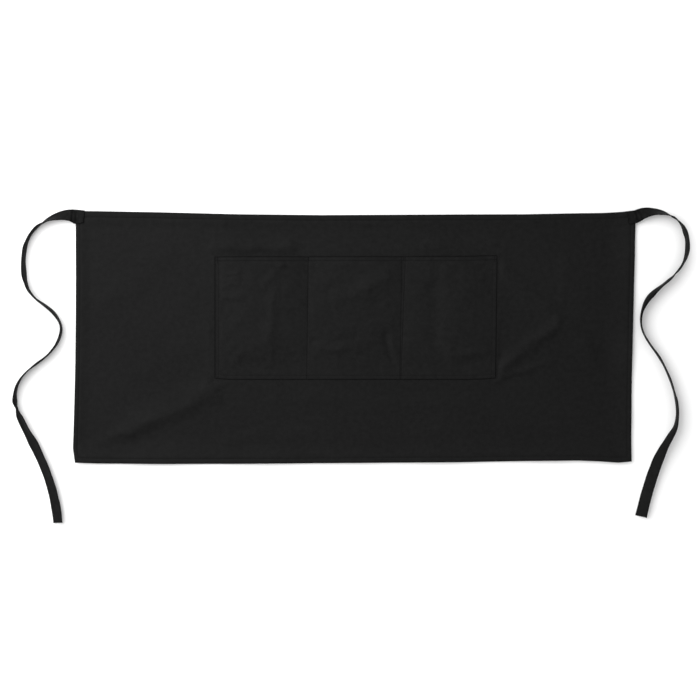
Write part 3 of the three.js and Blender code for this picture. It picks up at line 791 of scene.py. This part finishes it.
def tie_sheet(panel, pocket, ties, tie):
    """A tie: flat where it is sewn on, then twisting onto its edge as it winds over the floor."""
    free = getattr(ties, tie.side)
    edge = np.array(EDGE_LINES)
    width = ties.width
    across = np.array([*edge, *spaced(TIE_EDGE, width - TIE_EDGE, TIE_ACROSS), *(width - edge[::-1])])
    lap = [*(edge - ties.lap), *spaced(TIE_EDGE - ties.lap, 0, LAP_ALONG)]
    near = spaced(ties.mesh / 2, FINE_SECTIONS * ties.mesh, ties.mesh / 2)
    beyond = spaced((FINE_SECTIONS + 1) * ties.mesh, free - TIE_EDGE, ties.mesh)
    down = [*near, *beyond, *(free - edge[::-1])]
    along = np.array([*lap, *down])
    share = along / free
    steps = np.diff(along)
    halfway = (along[1:] + along[:-1]) / 2 / free
    heading = np.radians(read(tie.route, "turn", halfway))
    corner = panel_sheet_corner(panel, tie.outward)
    x = np.concatenate([[0], np.cumsum(tie.outward * np.cos(heading) * steps)])
    y = np.concatenate([[0], np.cumsum(-np.sin(heading) * steps)])
    at_corner = len(lap) - 1
    x = x + corner[0] - x[at_corner]
    y = y + corner[1] + tie.proud - width / 2 - y[at_corner]
    loose = ease(along / LOOSE_RUN)
    turn = np.radians(read(tie.route, "turn", share))
    roll = np.radians(read(tie.route, "roll", share) + loose * uneven(TIE_ROLLS, along, along * 0))
    cup = np.radians(read(tie.route, "cup", share) + loose * uneven(TIE_CUPS, along, along * 0))
    level = np.stack([-tie.outward * np.sin(turn), -np.cos(turn), 0 * turn], -1)
    upright = np.array([0, 0, 1])
    out = level * np.cos(roll)[:, None] + upright * np.sin(roll)[:, None]
    face = upright * np.cos(roll)[:, None] - level * np.sin(roll)[:, None]
    offset = (across - width / 2)[None, :]
    bend = (cup / width)[:, None]
    beside = offset * np.sinc(bend * offset / math.pi)
    above = bend * offset**2 / 2 * np.sinc(bend * offset / 2 / math.pi) ** 2
    above = above - above.mean(axis=1, keepdims=True)
    above = above + loose[:, None] * uneven(TIE_DENTS, along[:, None] + 0 * offset, offset)
    spread = tie.spread * np.exp(-(((along - SPREAD_MIDDLE) / SPREAD_RUN) ** 2))
    beside = beside * (1 + spread[:, None] * (offset > 0))
    gathered = np.exp(-((along / GATHER_RUN) ** 2))[:, None]
    gathers = uneven(TIE_GATHERS, along[:, None] + GATHER_SLANT * offset, GATHER_LENGTH * offset)
    above = above + GATHER_DEPTH * gathered * gathers
    tilt = bend * offset
    section = out[:, None] * beside[..., None] + face[:, None] * above[..., None]
    normal = face[:, None] * np.cos(tilt)[..., None] - out[:, None] * np.sin(tilt)[..., None]
    inset = np.minimum(np.minimum(across, width - across)[None, :], (along - along[0])[:, None])
    inset = np.minimum(inset, (along[-1] - along)[:, None])
    half = ties.thickness / 2 * rounded(inset, ties.thickness / 2)
    lowest = (section[..., 2] - half * abs(normal[..., 2])).min(axis=1)
    hem_top = panel_lift(panel, pocket, corner[2], panel.drop - HEM_SPOT) + panel.cloth + panel.turned
    ground = (hem_top + SEATED + HEM_BULGE) * (1 - ease(along / ties.landing))
    centre = np.stack([x, y, ground - lowest], -1)
    # Painted shade where the tie stands on edge
    steep = abs(np.sin(roll))[:, None] ** STEEP_POWER
    # Painted shade along the tie's edges and in the hollows of the gathers where it is sewn on
    crease = EDGE_SHADE * line_falloff(inset) + GATHER_SHADE * gathered * np.clip(-gathers, 0, 1)
    crease = crease + STEEP_SHADE * steep
    # Painted shade along the bar tacks
    for at in TACK_PLACES:
        crease = crease + TACK_SHADE * line_falloff((along[:, None] - at) / TACK_WIDENED)
    return Sheet(across, along, centre[:, None] + section, normal, half, crease)


def panel_sheet_corner(panel, outward):
    """Where the upper corner of the panel lies on one side, and how far across the cut a lap is seated."""
    u = np.array([0.0 if outward < 0 else panel.width])
    x, y = panel_place(panel, u, np.array([panel.drop]))
    return x[0], y[0], np.abs(u - HEM_SPOT)


class Thread:
    """Stitches gathered row by row, then made into one mesh from a single modelled stitch."""

    def __init__(self, sizes):
        self.sizes = sizes
        self.rows = []

    def row(self, sheet, start, end, side):
        """A row of stitches between two places of a sheet's cut, on its top or its underside."""
        start = np.array(start)
        end = np.array(end)
        run = np.linalg.norm(end - start)
        count = max(1, round(run / self.sizes.pitch))
        pitch = run / count
        length = min(self.sizes.stitch, pitch * LONGEST_STITCH)
        middle = (np.arange(count) + 0.5) * pitch
        step = (end - start) / run
        first = start + (middle - length / 2)[:, None] * step
        last = start + (middle + length / 2)[:, None] * step
        self.add(sheet, first, last, side)

    def tack(self, sheet, start, end, side=1):
        """A bar tack: stitches set closely side by side between two places."""
        start = np.array(start)
        end = np.array(end)
        run = np.linalg.norm(end - start)
        count = max(2, round(run / self.sizes.tack_pitch))
        step = (end - start) / run
        square = np.array([-step[1], step[0]]) * self.sizes.tack_width / 2
        middle = start + ((np.arange(count) + 0.5) * run / count)[:, None] * step
        first = middle - square
        last = middle + square
        self.add(sheet, first, last, side)

    def path(self, sheet, corners, side):
        """Rows of stitches from each place of a sheet's cut to the next."""
        for start, end in zip(corners, corners[1:]):
            self.row(sheet, start, end, side)

    def add(self, sheet, first, last, side):
        """Stitches from places of a sheet's cut to others."""
        from_point, _ = sheet.at(first[:, 0], first[:, 1], side)
        to_point, up = sheet.at(last[:, 0], last[:, 1], side)
        along = to_point - from_point
        length = np.linalg.norm(along, axis=1)
        along = along / length[:, None]
        beside = np.cross(up, along)
        beside = beside / np.linalg.norm(beside, axis=1)[:, None]
        up = np.cross(along, beside)
        self.rows.append([(from_point + to_point) / 2, along, beside, up, length])

    def make(self, name):
        """One mesh with a copy of the stitch at each place."""
        shape, faces = stitch_shape(self.sizes)
        centre, along, beside, up, length = [np.concatenate(part) for part in zip(*self.rows)]
        points = (
            centre[:, None]
            + along[:, None] * (shape[None, :, 0] * length[:, None])[..., None]
            + beside[:, None] * shape[None, :, 1, None]
            + up[:, None] * shape[None, :, 2, None]
        )
        shifts = range(0, len(centre) * len(shape), len(shape))
        every = [[corner + shift for corner in face] for shift in shifts for face in faces]
        return mesh_piece(name, points.reshape(-1, 3), every)


def stitch_shape(sizes):
    """One stitch a unit long: a ball drawn out along X, with its ends pulled down into the cloth."""
    bpy.ops.object.select_all(action="DESELECT")
    bpy.ops.mesh.primitive_uv_sphere_add(
        segments=STITCH_SIDES, ring_count=STITCH_SIDES, radius=0.5, rotation=(0, math.pi / 2, 0)
    )
    ball = bpy.context.object
    bpy.ops.object.transform_apply(location=False, rotation=True, scale=False)
    bpy.ops.object.mode_set(mode="EDIT")
    bpy.ops.mesh.select_all(action="SELECT")
    bpy.ops.transform.resize(value=(1, sizes.thickness, sizes.thickness))
    bpy.ops.mesh.select_all(action="DESELECT")
    bpy.ops.object.mode_set(mode="OBJECT")
    for point in ball.data.vertices:
        point.select = abs(point.co.x) > STITCH_END
    bpy.ops.object.mode_set(mode="EDIT")
    bpy.ops.transform.translate(value=(0, 0, -sizes.thickness / 2))
    bpy.ops.object.mode_set(mode="OBJECT")
    shape = np.array([point.co for point in ball.data.vertices])
    faces = [list(face.vertices) for face in ball.data.polygons]
    bpy.data.objects.remove(ball)
    return shape, faces


class Value:
    """A number that varies over a surface: a node's socket, whose sums and products add Math nodes."""

    def __init__(self, finish, socket):
        self.finish = finish
        self.socket = socket

    def math(self, operation, first, second=0.0):
        return self.finish.add("ShaderNodeMath", {"operation": operation}, {0: first, 1: second})

    def __add__(self, other):
        return self.math("ADD", self, other)

    def __radd__(self, other):
        return self.math("ADD", other, self)

    def __sub__(self, other):
        return self.math("SUBTRACT", self, other)

    def __rsub__(self, other):
        return self.math("SUBTRACT", other, self)

    def __mul__(self, other):
        return self.math("MULTIPLY", self, other)

    def __rmul__(self, other):
        return self.math("MULTIPLY", other, self)

    def sine(self):
        return self.math("SINE", self)


class Finish:
    """A material in the making."""

    def __init__(self, name):
        self.material = bpy.data.materials.new(name)
        self.material.use_nodes = True
        self.tree = self.material.node_tree
        self.tree.nodes.clear()

    def add(self, kind, settings, sockets, output=0):
        """Adds a node, with its settings made first and then its sockets set or linked."""
        node = self.tree.nodes.new(kind)
        for name, value in settings.items():
            setattr(node, name, value)
        for name, value in sockets.items():
            if isinstance(value, Value):
                self.tree.links.new(value.socket, node.inputs[name])
            else:
                node.inputs[name].default_value = value
        if not node.outputs:
            return None
        return Value(self, node.outputs[output])

    def noise(self, place, scale, detail=2.0, roughness=0.5):
        """Noise about 0, from -0.5 to 0.5."""
        sockets = {"Vector": place, "Scale": scale, "Detail": detail, "Roughness": roughness}
        return self.add("ShaderNodeTexNoise", {}, sockets) - 0.5

    def close(self, colour, roughness, normal, constants):
        """Ends in one shader, whose fixed numbers stay on its own sockets."""
        sockets = {"Base Color": colour, "Roughness": roughness, "Normal": normal, **constants}
        shader = self.add("ShaderNodeBsdfPrincipled", {}, sockets)
        self.add("ShaderNodeOutputMaterial", {}, {"Surface": shader})
        return self.material


def shaded(finish, colour, shade):
    """A colour made lighter or darker all over by a value about 1; for the twill that value holds painted
    shade as well as random tone.
    """
    grey = finish.add("ShaderNodeCombineColor", {}, {"Red": shade, "Green": shade, "Blue": shade})
    settings = {"data_type": "RGBA", "blend_type": "MULTIPLY"}
    sockets = {0: 1.0, 6: (*colour, 1.0), 7: grey}
    return finish.add("ShaderNodeMix", settings, sockets, 2)


def twill_finish(name, colour, pitch, gloss):
    """Matt twill: diagonal ribs crossed by their threads, a faint bloom, and painted shade at seams, edges
    and stitches.
    """
    finish = Finish(name)
    cut = finish.add("ShaderNodeUVMap", {"uv_map": "cut"}, {})
    axes = {"Vector": cut}
    across = finish.add("ShaderNodeSeparateXYZ", {}, axes, 0)
    along = finish.add("ShaderNodeSeparateXYZ", {}, axes, 1)
    wobble = finish.noise(cut, WOBBLE_SCALE) * (RIB_WOBBLE * pitch)
    turns = 2 * math.pi / pitch
    rib = ((across * RIB_SLANT[0] + along * RIB_SLANT[1] + wobble) * turns).sine()
    float_end = ((across - along) * (FLOAT_TURNS * turns)).sine()
    weave = rib + FLOAT_SHARE * float_end
    slub = finish.noise(cut, SLUB.scale, SLUB.detail, SLUB.rough)
    bloom = finish.noise(cut, BLOOM.scale, BLOOM.detail, BLOOM.rough)
    mottle = finish.noise(cut, MOTTLE.scale, MOTTLE.detail, MOTTLE.rough)
    # Painted shade, read from each sheet's points, darkens the colour
    crease = finish.add("ShaderNodeAttribute", {"attribute_name": "crease"}, {}, 2)
    dye = 1 + BLOOM.dye * bloom + MOTTLE.dye * mottle + SLUB.dye * slub + WEAVE_DYE * weave
    shade = dye * (1 - PAINTED_SHADE_STRENGTH * crease)
    height = WEAVE_NAP * weave + SLUB.nap * slub + MOTTLE.nap * mottle
    bump = {"Strength": 0.5, "Distance": 0.12 * MM, "Height": height}
    normal = finish.add("ShaderNodeBump", {}, bump)
    roughness = 0.6 + 0.1 * mottle
    constants = {
        "Specular IOR Level": gloss,
        "Sheen Weight": 0.02,
        "Sheen Roughness": 0.45,
        "Sheen Tint": (0.75, 0.75, 0.78, 1.0),
    }
    return finish.close(shaded(finish, colour, shade), roughness, normal, constants)


def thread_finish(name, colour):
    """Spun thread: a slightly glossier black, uneven along its length."""
    finish = Finish(name)
    place = finish.add("ShaderNodeTexCoord", {}, {}, 3)
    strands = finish.noise(place, scale=2500.0)
    patches = finish.noise(place, scale=300.0)
    bump = {"Strength": 0.5, "Distance": 0.05 * MM, "Height": strands}
    normal = finish.add("ShaderNodeBump", {}, bump)
    shade = 1 + 0.8 * patches
    constants = {"Specular IOR Level": 0.08, "Sheen Weight": 0.01}
    return finish.close(shaded(finish, colour, shade), 0.7 + 0.2 * patches, normal, constants)


def floor_finish(colour):
    """Matt white paper, very slightly uneven."""
    finish = Finish("floor_paper")
    place = finish.add("ShaderNodeTexCoord", {}, {}, 3)
    shade = 1 + 0.01 * finish.noise(place, scale=3.0)
    fibre = finish.noise(place, scale=800.0)
    normal = finish.add("ShaderNodeBump", {}, {"Strength": 0.02, "Distance": 0.1 * MM, "Height": fibre})
    constants = {"Specular IOR Level": 0.1}
    return finish.close(shaded(finish, colour, shade), 0.95 + 0.02 * fibre, normal, constants)


def dress(piece, material, slot, *nodes):
    """Gives a piece its material and its body, and hides the CAD nodes that it stands for."""
    piece.data.materials.append(material)
    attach(piece, "root")
    if nodes:
        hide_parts(*nodes)
    return piece


def shared(name, make, *values):
    """A material by its name, made the first time that a piece asks for it."""
    return bpy.data.materials.get(name) or make(name, *values)


def twill_of(scene):
    panel = scene.apron_panel
    return shared("black_twill", twill_finish, tuple(panel.colour), TWILL_PITCH, TWILL_GLOSS)


class APRON_OT_panel(bpy.types.Operator):
    """Make the panel of the apron, with its hems and folds"""

    bl_idname = "apron.panel"
    bl_label = "Panel"

    def execute(self, context):
        scene = context.scene
        sheet = panel_sheet(scene.apron_panel, scene.apron_pocket)
        dress(sheet.make("panel_cloth"), twill_of(scene), "twill", "apron_panel")
        return {"FINISHED"}


class APRON_OT_pocket(bpy.types.Operator):
    """Make the patch pocket with its three compartments"""

    bl_idname = "apron.pocket"
    bl_label = "Pocket"

    def execute(self, context):
        scene = context.scene
        sheet = pocket_sheet(scene.apron_panel, scene.apron_pocket)
        dress(sheet.make("pocket_cloth"), twill_of(scene), "twill", "pocket")
        return {"FINISHED"}


class APRON_OT_ties(bpy.types.Operator):
    """Make the two ties, lapped onto the upper corners"""

    bl_idname = "apron.ties"
    bl_label = "Ties"

    def execute(self, context):
        scene = context.scene
        sizes = scene.apron_ties
        for tie in TIES:
            sheet = tie_sheet(scene.apron_panel, scene.apron_pocket, sizes, tie)
            tape = shared("black_tape", twill_finish, tuple(sizes.colour), TAPE_PITCH, TAPE_GLOSS)
            dress(sheet.make(f"tie_tape_{tie.side}"), tape, "tape", f"tie_{tie.side}")
        return {"FINISHED"}


def hem_rows(thread, panel, sheet, side):
    """The rows of stitches that hold the panel's four hems."""
    left = panel.side_hem - panel.hem_stitch
    right = panel.width - left
    bottom = panel.bottom_hem - panel.hem_stitch
    waist = panel.drop - panel.waist_hem + panel.hem_stitch
    corners = [(left, bottom), (right, bottom), (right, waist), (left, waist), (left, bottom)]
    thread.path(sheet, corners, side)


def pocket_rows(pocket):
    """Ends of every row of stitches of the pocket, as places of its cut."""
    rows = []
    start = pocket.height - ROW_INSET
    for inset in (pocket.edge_stitch, pocket.edge_stitch + pocket.second_row):
        right = pocket.width - inset
        corners = [(inset, start), (inset, inset), (right, inset), (right, start)]
        rows.extend(zip(corners, corners[1:]))
    mouth = pocket.height - pocket.mouth_stitch
    rows.append(((pocket.edge_stitch, mouth), (pocket.width - pocket.edge_stitch, mouth)))
    for seam in POCKET_DIVIDERS:
        at = seam.mouth * pocket.width
        for row in seam_rows(seam):
            top = (at + row * seam.apart_mouth, start)
            rows.append((top, (at + row * seam.apart_foot, pocket.edge_stitch)))
    return rows


def on_back(pocket, panel, place):
    """The place of the panel's cut that lies under a place of the pocket's."""
    x, y = pocket_place(pocket, np.array([place[0]]), np.array([place[1]]))
    return x[0] + panel.width / 2, y[0] + panel.drop / 2


class APRON_OT_stitches(bpy.types.Operator):
    """Sew the hems, the pocket and the ties"""

    bl_idname = "apron.stitches"
    bl_label = "Stitches"

    def execute(self, context):
        scene = context.scene
        panel = scene.apron_panel
        pocket = scene.apron_pocket
        ties = scene.apron_ties
        sizes = scene.apron_thread
        finish = shared("sewing_thread", thread_finish, tuple(sizes.colour))
        panel_cloth = panel_sheet(panel, pocket)
        pocket_cloth = pocket_sheet(panel, pocket)

        hems = Thread(sizes)
        for side in (1, -1):
            hem_rows(hems, panel, panel_cloth, side)
        hem_stitches = dress(hems.make("hem_stitches"), finish, "twill")

        pocket_thread = Thread(sizes)
        for start, end in pocket_rows(pocket):
            pocket_thread.row(pocket_cloth, start, end, 1)
            pocket_thread.row(panel_cloth, on_back(pocket, panel, start), on_back(pocket, panel, end), -1)
        top = pocket.height - TACK_INSET
        inset = pocket.edge_stitch + pocket.second_row / 2
        for at in (inset, pocket.width - inset):
            pocket_thread.tack(pocket_cloth, (at, top - sizes.tack), (at, top))
        for seam in POCKET_DIVIDERS:
            at = seam.mouth * pocket.width
            pocket_thread.tack(pocket_cloth, (at, top - sizes.tack / 2), (at, top))
        pocket_stitches = dress(pocket_thread.make("pocket_stitches"), finish, "twill")

        for tie in TIES:
            sheet = tie_sheet(panel, pocket, ties, tie)
            stitches = dress(tie_stitches(sizes, ties, tie, sheet), finish, "tape")
            flat = (ties.width, ties.lap + getattr(ties, tie.side))

        turned_in = 2 * panel.side_hem
        flat = (panel.width + 2 * turned_in, panel.drop + 2 * panel.bottom_hem + 2 * panel.waist_hem)
        flat = (pocket.width + 2 * pocket.seam, pocket.height + pocket.seam + 2 * pocket.mouth_hem)
        return {"FINISHED"}


def tie_stitches(sizes, ties, tie, sheet):
    """Stitches along both edges and round the end of a tie, and the box and bar tack that hold its lap."""
    thread = Thread(sizes)
    inset = ties.edge_stitch
    far = ties.width - inset
    start = inset - ties.lap
    end = getattr(ties, tie.side) - inset
    for side in (1, -1):
        thread.path(sheet, [(inset, start), (inset, end), (far, end), (far, start)], side)
    thread.row(sheet, (far, start), (inset, start), 1)
    thread.row(sheet, (inset, start), (far, TACK_PLACES[0]), 1)
    thread.row(sheet, (far, start), (inset, TACK_PLACES[0]), 1)
    for at in TACK_PLACES:
        thread.tack(sheet, (inset, at), (far, at))
    return thread.make(f"tie_stitches_{tie.side}")


class APRON_OT_stage(bpy.types.Operator):
    """Lay the floor, hang the lamp and set the camera"""

    bl_idname = "apron.stage"
    bl_label = "Stage"

    def execute(self, context):
        scene = context.scene
        stage = scene.apron_stage
        make_floor(stage)
        hang_lamp(stage)
        light_all_round(scene, stage)
        scene.camera = make_camera(stage)
        scene.view_settings.view_transform = "Standard"
        return {"FINISHED"}


def make_floor(stage):
    """A pale floor just under the cloth."""
    bpy.ops.object.select_all(action="DESELECT")
    bpy.ops.mesh.primitive_plane_add(size=FLOOR_SIZE, location=(0, 0, -FLOOR_DEPTH))
    floor = bpy.context.object
    floor.name = "floor"
    bpy.ops.object.transform_apply(location=True, rotation=False, scale=False)
    floor.data.materials.append(floor_finish(tuple(stage.floor)))


def hang_lamp(stage):
    """One large soft lamp over the upper left corner, aimed at the apron."""
    lamp = bpy.data.lights.new("key_lamp", "AREA")
    lamp.shape = "DISK"
    lamp.size = stage.key_size
    lamp.energy = stage.key
    holder = bpy.data.objects.new("key_lamp", lamp)
    bpy.context.scene.collection.objects.link(holder)
    holder.location = stage.key_place
    holder.rotation_euler = (-Vector(stage.key_place)).to_track_quat("-Z", "Y").to_euler()


def light_all_round(scene, stage):
    """Even white light from every side."""
    world = bpy.data.worlds.new("studio")
    world.use_nodes = True
    background = world.node_tree.nodes["Background"]
    background.inputs["Color"].default_value = (1, 1, 1, 1)
    background.inputs["Strength"].default_value = stage.fill
    scene.world = world


def make_camera(stage):
    """A camera that looks straight down on the apron."""
    camera = bpy.data.cameras.new("camera")
    camera.lens = stage.lens
    camera.sensor_width = stage.sensor
    camera.clip_end = CAMERA_REACH
    holder = bpy.data.objects.new("camera", camera)
    bpy.context.scene.collection.objects.link(holder)
    holder.location = (*stage.aim, stage.framed * stage.lens / stage.sensor)
    return holder


class APRON_PT_parts(bpy.types.Panel):
    """The apron's sizes and the steps that make it"""

    bl_idname = "APRON_PT_parts"
    bl_label = "Waist Apron"
    bl_space_type = "VIEW_3D"
    bl_region_type = "UI"
    bl_category = "Apron"

    def draw(self, context):
        for group, steps in PARTS.items():
            box = self.layout.box()
            sizes = getattr(context.scene, group)
            for name in type(sizes).__annotations__:
                box.prop(sizes, name)
            for step in steps:
                box.operator(step.bl_idname)


GROUPS = {
    "apron_panel": ApronPanelSizes,
    "apron_pocket": ApronPocketSizes,
    "apron_ties": ApronTieSizes,
    "apron_thread": ApronThreadSizes,
    "apron_stage": ApronStageSettings,
}
PARTS = {
    "apron_panel": [APRON_OT_panel],
    "apron_pocket": [APRON_OT_pocket],
    "apron_ties": [APRON_OT_ties],
    "apron_thread": [APRON_OT_stitches],
    "apron_stage": [APRON_OT_stage],
}
CLASSES = [*GROUPS.values(), *(step for steps in PARTS.values() for step in steps), APRON_PT_parts]


def register():
    for kind in CLASSES:
        bpy.utils.register_class(kind)
    for name, kind in GROUPS.items():
        setattr(bpy.types.Scene, name, bpy.props.PointerProperty(type=kind))


def unregister():
    for name in GROUPS:
        delattr(bpy.types.Scene, name)
    for kind in reversed(CLASSES):
        bpy.utils.unregister_class(kind)


def main():
    register()
    bpy.ops.apron.panel()
    bpy.ops.apron.pocket()
    bpy.ops.apron.ties()
    bpy.ops.apron.stitches()
    bpy.ops.apron.stage()


if __name__ == "__main__":
    main()
